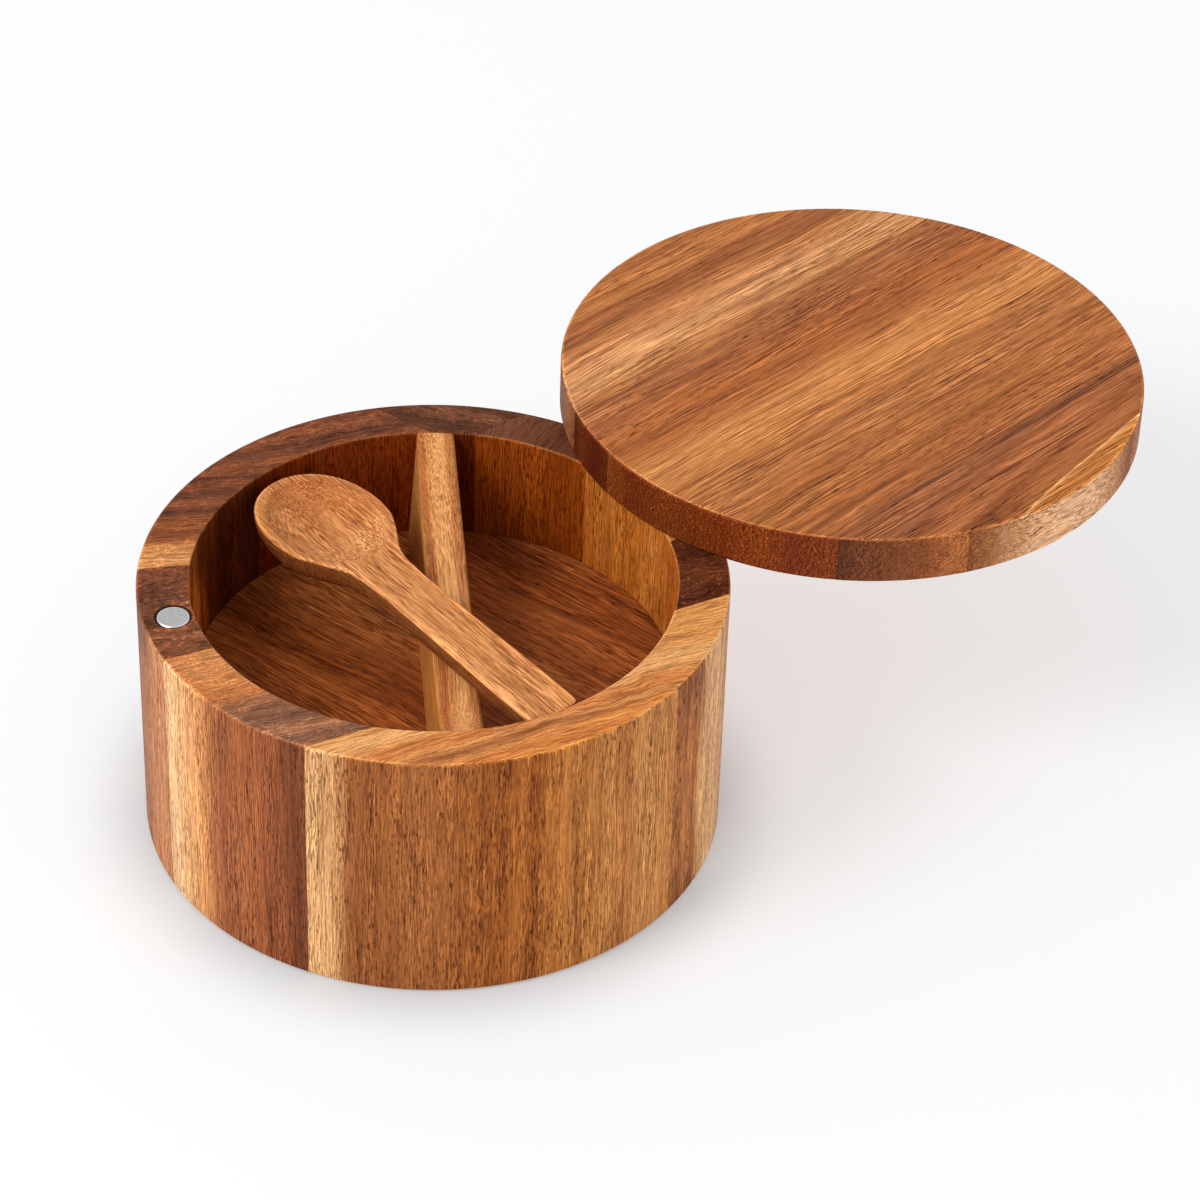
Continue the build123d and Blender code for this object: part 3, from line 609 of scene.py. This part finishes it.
lid_board("lid_strip", "wood_lid_strip", None, -65.8, seed=21, warp=0.5, warp_fine=0.5, streak=0.45, fine=0.5, relief=0.65,
          cut_at=(0.12, 0.40), speckle=0.45, end_streak=0.2,
          side=[(-72.5, (236, 182, 138)), (-69, (228, 168, 120)), (-66, (214, 154, 106))],
          end=[(-72.5, (150, 92, 55)), (-69, (158, 99, 61)), (-66, (134, 81, 50))],
          top=([(-72, (206, 130, 68)), (-69.2, (200, 124, 64)), (-67.9, (218, 142, 78)), (-67.5, (250, 192, 128)),
                (-67.0, (176, 104, 58)), (-64, (166, 98, 56)), (-58, (160, 92, 54))], -0.165))
lid_board("lid_board_a", "wood_lid_a", -65.8, -46.9, seed=22, warp=0.9, warp_fine=0.45, streak=0.8, fine=0.6, pores=0.65,
          speckle=0.5, end_streak=0.3,
          side=[(-66, (166, 98, 56)), (-63, (182, 110, 64)), (-60, (158, 90, 52)), (-57, (184, 112, 68)), (-53, (172, 102, 60)),
                (-50.5, (150, 88, 55)), (-48, (116, 70, 50)), (-46.5, (128, 78, 54))],
          end=[(-66, (104, 62, 42)), (-60, (92, 54, 38)), (-52, (112, 66, 44)), (-47, (86, 50, 36))],
          top=([(-72, (206, 130, 68)), (-69.2, (200, 124, 64)), (-67.9, (218, 142, 78)), (-67.5, (250, 192, 128)),
                (-67.0, (176, 104, 58)), (-63, (182, 110, 64)), (-60, (158, 90, 52)), (-57, (184, 112, 68)),
                (-53, (172, 102, 60)), (-50, (152, 90, 56)), (-46, (176, 108, 68)), (-40, (168, 100, 60))], -0.165))
lid_board("lid_board_b", "wood_lid_b", -46.9, -15.4, gain=(1.06, 1.05, 1.0), seed=23, warp=0.9, warp_fine=0.45, streak=0.75, fine=0.6, pores=0.65,
          speckle=0.95, end_streak=0.35,
          side=[(-47, (120, 72, 50)), (-45, (158, 94, 58)), (-41, (184, 112, 66)), (-36, (172, 102, 58)), (-31, (188, 118, 68)),
                (-26, (178, 108, 62)), (-21, (188, 118, 70)), (-15, (192, 122, 72))],
          end=[(-47, (118, 60, 28)), (-38, (108, 52, 22)), (-30, (124, 62, 26)), (-22, (112, 54, 20)), (-15, (118, 58, 22))])
lid_board("lid_board_c", "wood_lid_c", -15.4, 14.3, seed=24, warp=0.9, warp_fine=0.4, streak=0.55, fine=0.5, pores=0.5,
          speckle=0.85, end_streak=0.35,
          side=[(-15.5, (182, 114, 66)), (-12, (194, 122, 70)), (-8, (206, 132, 74)), (-3, (216, 142, 82)), (2, (214, 140, 80)),
                (6, (200, 124, 70)), (9, (188, 112, 62)), (12, (184, 108, 60)), (15, (178, 104, 58))],
          end=[(-15, (114, 56, 22)), (-6, (120, 62, 26)), (4, (108, 52, 20)), (14.3, (126, 68, 32))])
lid_board("lid_board_d", "wood_lid_d", 14.3, 31.8, gain=(1.12, 1.09, 1.0), seed=25, warp=0.9, warp_fine=0.45, streak=0.75, fine=0.7, pores=0.85,
          speckle=0.5, end_streak=0.3,
          side=[(14, (182, 106, 58)), (18, (176, 106, 62)), (22, (164, 98, 60)), (26, (174, 108, 68)), (29, (166, 104, 66)),
                (32, (184, 118, 72))],
          end=[(14.3, (94, 47, 19)), (20, (84, 40, 15)), (27, (100, 50, 20)), (31.8, (78, 38, 15))])
lid_board("lid_board_e", "wood_lid_e", 31.8, None, gain=(1.10, 1.08, 1.02), seed=26, warp=1.3, warp_fine=0.5, streak=0.65, fine=0.55, pores=0.6,
          speckle=0.1, end_streak=0.8,
          side=[(31.5, (188, 122, 74)), (35, (206, 142, 92)), (40, (214, 152, 102)), (45, (210, 144, 94)), (49, (200, 130, 80)),
                (52, (176, 110, 66)), (55, (158, 94, 58)), (58, (168, 102, 60)), (61, (194, 124, 72)), (66, (196, 124, 72)),
                (69, (172, 106, 62)), (73, (184, 118, 70))],
          end=[(31.8, (126, 78, 52)), (38, (150, 98, 66)), (46, (120, 74, 50)), (56, (140, 90, 60)), (72, (118, 74, 50))])


# --- spoon: a smooth closed mesh in the place of the construction's ruled one -----------------------------
SPOON_AZ = -50.1
SPOON_TIP = (-39.8, 36.6)
DIP_TIP, DIP_END = 0.6, 2.25
SPOON_END = 109.1
SC_C, SC_A, SC_B, SC_D = 20.0, 17.6, 12.9, 5.6
STATIONS = [
    (20.5, 15.35, 10.1, 2.5), (26.0, 14.7, 9.7, 2.6), (30.8, 12.7, 8.8, 2.8), (35.0, 10.3, 7.7, 3.2), (39.5, 7.9, 6.7, 3.8),
    (45.0, 6.8, 6.0, 4.2), (54.0, 6.5, 5.8, 4.5), (75.0, 6.7, 5.8, 4.5), (95.0, 7.0, 5.8, 4.5), (SPOON_END, 7.0, 5.7, 4.5),
]


def hermite(u, col):
    us = [s[0] for s in STATIONS]
    ys = [s[col] for s in STATIONS]
    k = min(max(i for i in range(len(us)) if us[i] <= u + 1e-9), len(us) - 2)

    def slope(i):
        if i == 0 or i == len(us) - 1:
            return 0.0
        a = (ys[i] - ys[i - 1]) / (us[i] - us[i - 1])
        b = (ys[i + 1] - ys[i]) / (us[i + 1] - us[i])
        return 0.0 if a * b <= 0 else 2 * a * b / (a + b)

    hh = us[k + 1] - us[k]
    t = min(1.0, (u - us[k]) / hh)
    return ((2 * t**3 - 3 * t**2 + 1) * ys[k] + (t**3 - 2 * t**2 + t) * hh * slope(k)
            + (-2 * t**3 + 3 * t**2) * ys[k + 1] + (t**3 - t**2) * hh * slope(k + 1))


def spoon_numbers(u):
    """Half width, depth and squareness of the spoon's section."""
    if u < 20.5:
        t = min(1.0, (20.5 - u) / 20.05)
        k = max(0.0, 1 - t**2.2)
        return max(0.02, 15.35 * k ** (1 / 2.2)), max(0.02, 10.1 * k**0.5), 2.2 + 0.3 * (u / 20.5)
    w, d, p = hermite(u, 1), hermite(u, 2), hermite(u, 3)
    over = u - (SPOON_END - 2.2)
    if over > 0:
        c = 1 - math.sqrt(max(0.0, 1 - (over / 2.2) ** 2))
        w -= 1.7 * c
        d -= 1.1 * c
    return w, d, p


def make_spoon():
    us = list(np.concatenate([
        0.47 + 20.03 * (1 - np.cos(np.linspace(0, math.pi / 2, 40))) ** 1.0,
        np.arange(21.0, 40.0, 0.5), np.arange(40.0, 46.0, 0.75), np.arange(46.0, SPOON_END - 2.4, 2.0),
        SPOON_END - 2.2 * (1 - np.sin(np.linspace(0, math.pi / 2, 9))) - 0.0,
    ]))
    us = sorted(set(round(float(u), 4) for u in us))
    tilt = -(DIP_END - DIP_TIP) / 110.0
    az = math.radians(SPOON_AZ)
    ax = Vector((math.cos(az), math.sin(az), tilt)).normalized()
    left = Vector((-math.sin(az), math.cos(az), 0))
    upv = ax.cross(left)
    tip = Vector((SPOON_TIP[0], SPOON_TIP[1], H - DIP_TIP))
    NI, NE, NC, NB = 30, 5, 5, 34

    def top_h(u, v):
        q = math.sqrt(((u - SC_C) / SC_A) ** 2 + (v / SC_B) ** 2)
        if q >= 1.035:
            return 0.0
        f = max(0.0, 1 - min(q, 1.0) ** 2)
        dep = SC_D * f**0.62
        e = (1.035 - q) / 0.085            # a soft lip where the scoop starts
        if e < 1:
            lip = 0.16 * e * e
            return -max(lip, dep if q < 0.95 else 0.0) if q < 0.95 else -(lip + (dep) * max(0.0, min(1.0, e)) ** 1.5)
        return -dep

    rings = []
    for u in us:
        w, d, p = spoon_numbers(u)
        re = min(0.7, 0.45 * w, 0.4 * d)
        inner = w - re
        k = 1 - ((u - SC_C) / (SC_A * 1.035)) ** 2
        b = SC_B * 1.035 * math.sqrt(k) if k > 0 else 0.0
        b = min(max(b, 0.28 * inner), 0.96 * inner)
        vs = list(np.linspace(-inner, -b, NE + 1)[:-1]) + [-b * math.cos(math.pi * i / NI) for i in range(NI + 1)]
        vs += list(np.linspace(b, inner, NE + 1)[1:])
        ring = [(v, top_h(u, v)) for v in vs]
        for i in range(1, NC + 1):
            a = math.pi / 2 * i / NC
            ring.append((inner + re * math.sin(a), -re * (1 - math.cos(a))))
        for i in range(1, NB):
            a = math.pi * i / NB
            c, s_ = math.cos(a), math.sin(a)
            ring.append((math.copysign(w * abs(c) ** (2 / p), c), -re - (d - re) * abs(s_) ** (2 / p)))
        for i in range(NC, 0, -1):
            a = math.pi / 2 * i / NC
            ring.append((-(inner + re * math.sin(a)), -re * (1 - math.cos(a))))
        rings.append((u, ring))
    verts, faces = [], []
    flat = NI + 1 + 2 * NE
    edge_marks = [1.0 if k in (0, flat - 1) else 0.35 if k in (1, flat - 2) else 0.0 for k in range(flat)]
    edge_marks += [(0.9, 0.55, 0.2, 0.0, 0.0)[k] for k in range(NC)] + [0.0] * (NB - 1)
    edge_marks += [(0.0, 0.0, 0.2, 0.55, 0.9)[k] for k in range(NC)]

    def world(u, v, h):
        return (tip + ax * u + left * v + upv * h) / 1000.0

    n = len(rings[0][1])
    for u, ring in rings:
        for v, h in ring:
            verts.append(world(u, v, h))
    for i in range(len(rings) - 1):
        for j in range(n):
            a, b2 = i * n + j, i * n + (j + 1) % n
            faces.append((a, a + n, b2 + n, b2))
    for i, rev in ((0, False), (len(rings) - 1, True)):
        u, ring = rings[i]
        c = len(verts)
        mv = sum(r[0] for r in ring) / n
        mh = sum(r[1] for r in ring) / n
        verts.append(world(u, mv, mh))
        for j in range(n):
            a, b2 = i * n + j, i * n + (j + 1) % n
            faces.append((c, b2, a) if rev else (c, a, b2))
    me = bpy.data.meshes.new("spoon_body")
    me.from_pydata(verts, [], faces)
    me.validate()
    me.update()
    for poly in me.polygons:
        poly.use_smooth = True
    mark = me.attributes.new("edge", "FLOAT", "POINT")     # 1 along the edge of the top face, where a highlight is painted
    marks = [m for _, ring in rings for m in edge_marks] + [0.0, 0.0]
    mark.data.foreach_set("value", marks)
    ob = bpy.data.objects.new("spoon_body", me)
    scene.collection.objects.link(ob)
    import bmesh
    bm = bmesh.new()
    bm.from_mesh(me)
    bmesh.ops.recalc_face_normals(bm, faces=bm.faces)
    bm.to_mesh(me)
    bm.free()
    me.set_sharp_from_angle(angle=math.radians(55))
    return ob, ax, left, upv, tip


spoon, s_ax, s_left, s_up, s_tip = make_spoon()
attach(spoon, "spoon")
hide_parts("spoon")
spoon.data.materials.append(wood(
    "wood_spoon", tuple(s_ax), (s_left * 0.92 + s_up * 0.39), origin=tuple(s_tip), seed=31, warp=0.8, warp_fine=0.4,
    streak=0.55, fine=0.5, pores=0.6, pore_len=3.6, light=0.4, end_streak=0.4, speckle=0.25, end_tint=(0.90, 0.82, 0.74),
    # painted shade on the faces that turn down and away from the top, and a painted highlight along the top face's edge
    cut_at=(0.72, 0.98), relief=0.7, fibre=8.0, painted_side_shade=(tuple(s_up), (0.34, 0.265, 0.215)), marked_edge_highlight=0.85,
    side=[(-16, (206, 136, 80)), (-10, (206, 134, 78)), (-6, (226, 154, 96)), (-2, (212, 140, 84)), (2, (224, 150, 92)),
          (6, (204, 130, 76)), (10, (206, 132, 78)), (16, (186, 112, 64))],
    # a darker patch towards the tip, and a painted pool of light with a pale sheen on one slope of the scoop
    blobs=[(tuple(s_tip + s_ax * 9 + s_left * 2), (11, 10, 8), 0.7, (0.72, 0.60, 0.55)),
           (tuple(s_tip + s_ax * 27 + s_left * 6.5), (8, 8, 8), 0.8, (1.25, 1.5, 1.75))]))


# ---------------------------------------------------------------------------------------------------
# Metal
# ---------------------------------------------------------------------------------------------------
def metal(name, colour, rough, glint_ring_centres=()):
    t = Tree(name)
    coord = t.new("ShaderNodeTexCoord")
    p = t.new("ShaderNodeVectorMath")
    p.operation = "MULTIPLY"
    t.put(p.inputs[0], coord.outputs["Object"])
    p.inputs[1].default_value = (1000, 1000, 1000)
    P = p.outputs[0]
    n = t.noise(P, 3.0, 0.6, scale=1.8)
    m = t.new("ShaderNodeVectorMath")
    m.operation = "MULTIPLY"
    t.put(m.inputs[0], P)
    m.inputs[1].default_value = (0.5, 7.0, 0.5)
    scr = t.noise(m.outputs[0], 2.0, 0.6)
    col = t.mix(t.span(n, 0.35, 0.65), lin(colour), lin(tuple(max(0, c - 14) for c in colour)))
    col = t.tint(t.mul(t.span(scr, 0.58, 0.72), 0.25), col, (0.8, 0.8, 0.8))
    # painted highlight: a light ring on each magnet's chamfer, round these centres
    for cx, cy in glint_ring_centres:
        dx, dy = t.sub(t.dot(P, (1, 0, 0)), cx), t.sub(t.dot(P, (0, 1, 0)), cy)
        rr = t.math("SQRT", t.math("ADD", t.mul(dx, dx), t.mul(dy, dy)))
        col = t.tint(t.span(t.math("ABSOLUTE", t.sub(rr, 3.72)), 0.26, 0.08), col, (1.45, 1.45, 1.45))
    bn = t.new("ShaderNodeBump")
    bn.inputs["Strength"].default_value = 0.25
    bn.inputs["Distance"].default_value = 0.00004
    t.put(bn.inputs["Height"], t.math("MULTIPLY_ADD", scr, 0.7, t.mul(n, 0.5)))
    bsdf = t.new("ShaderNodeBsdfPrincipled")
    t.put(bsdf.inputs["Base Color"], col)
    bsdf.inputs["Metallic"].default_value = 1.0
    t.put(bsdf.inputs["Roughness"], t.math("MULTIPLY_ADD", t.sub(n, 0.5), 0.16, rough))
    t.put(bsdf.inputs["Normal"], bn.outputs["Normal"])
    out = t.new("ShaderNodeOutputMaterial")
    t.put(out.inputs["Surface"], bsdf.outputs[0])
    return t.mat


NICKEL = metal("magnet_nickel", (210, 210, 209), 0.34, glint_ring_centres=[(-59.6, -19.48), (159.4, 93.78)])
dress("magnet_body", NICKEL)
dress("magnet_lid", NICKEL)
dress("pivot_pin", metal("pin_steel", (186, 187, 190), 0.28))


# ---------------------------------------------------------------------------------------------------
# Floor and light
# ---------------------------------------------------------------------------------------------------
def floor_with_painted_contact_shade():
    me = bpy.data.meshes.new("studio_floor")
    s = 6.0
    me.from_pydata([(-s, -s, 0), (s, -s, 0), (s, s, 0), (-s, s, 0)], [], [(0, 1, 2, 3)])
    ob = bpy.data.objects.new("studio_floor", me)
    scene.collection.objects.link(ob)
    t = Tree("studio_floor")
    bsdf = t.new("ShaderNodeBsdfPrincipled")
    # painted contact shadow: an occlusion test darkens the floor's colour and dims its glow near anything close by
    ao = t.new("ShaderNodeAmbientOcclusion")
    ao.samples = 8
    ao.inputs["Distance"].default_value = 0.022
    unoccluded_share = t.span(ao.outputs["AO"], 0.45, 0.96, 0.0, 1.0, smooth=False)
    t.put(bsdf.inputs["Base Color"], t.mix(unoccluded_share, (0.36, 0.37, 0.38, 1), (0.44, 0.455, 0.465, 1)))
    t.put(bsdf.inputs["Emission Strength"], t.mixf(unoccluded_share, 0.30, 0.55))
    bsdf.inputs["Roughness"].default_value = 0.9
    bsdf.inputs["Specular IOR Level"].default_value = 0.05
    bsdf.inputs["Emission Color"].default_value = (1, 1, 1, 1)      # a light table: shadows on it stay faint
    out = t.new("ShaderNodeOutputMaterial")
    t.put(out.inputs["Surface"], bsdf.outputs[0])
    me.materials.append(t.mat)
    return ob


floor = floor_with_painted_contact_shade()
floor.location.z = -0.0001

world = bpy.data.worlds.new("studio")
scene.world = world
world.use_nodes = True
wt = world.node_tree
bg = wt.nodes["Background"]
bg.inputs["Color"].default_value = (1.0, 1.0, 1.0, 1)
wc = wt.nodes.new("ShaderNodeTexCoord")                     # soft walls all round, a dimmer ceiling
ws = wt.nodes.new("ShaderNodeSeparateXYZ")
wr = wt.nodes.new("ShaderNodeMapRange")
wr.inputs["From Min"].default_value = 0.0
wr.inputs["From Max"].default_value = 1.0
wr.inputs["To Min"].default_value = 1.24
wr.inputs["To Max"].default_value = 0.42
wt.links.new(wc.outputs["Generated"], ws.inputs[0])
wt.links.new(ws.outputs["Z"], wr.inputs["Value"])
wt.links.new(wr.outputs["Result"], bg.inputs["Strength"])


def area(name, place, aim, size, watts, colour=(1, 1, 1)):
    data = bpy.data.lights.new(name, "AREA")
    data.shape = "DISK"
    data.size = size
    data.energy = watts
    data.color = colour
    ob = bpy.data.objects.new(name, data)
    scene.collection.objects.link(ob)
    ob.location = place
    ob.rotation_euler = (Vector(aim) - Vector(place)).to_track_quat("-Z", "Y").to_euler()
    return ob


area("key", (-1.15, -0.75, 1.45), (0.03, 0.02, 0.05), 0.9, 18)
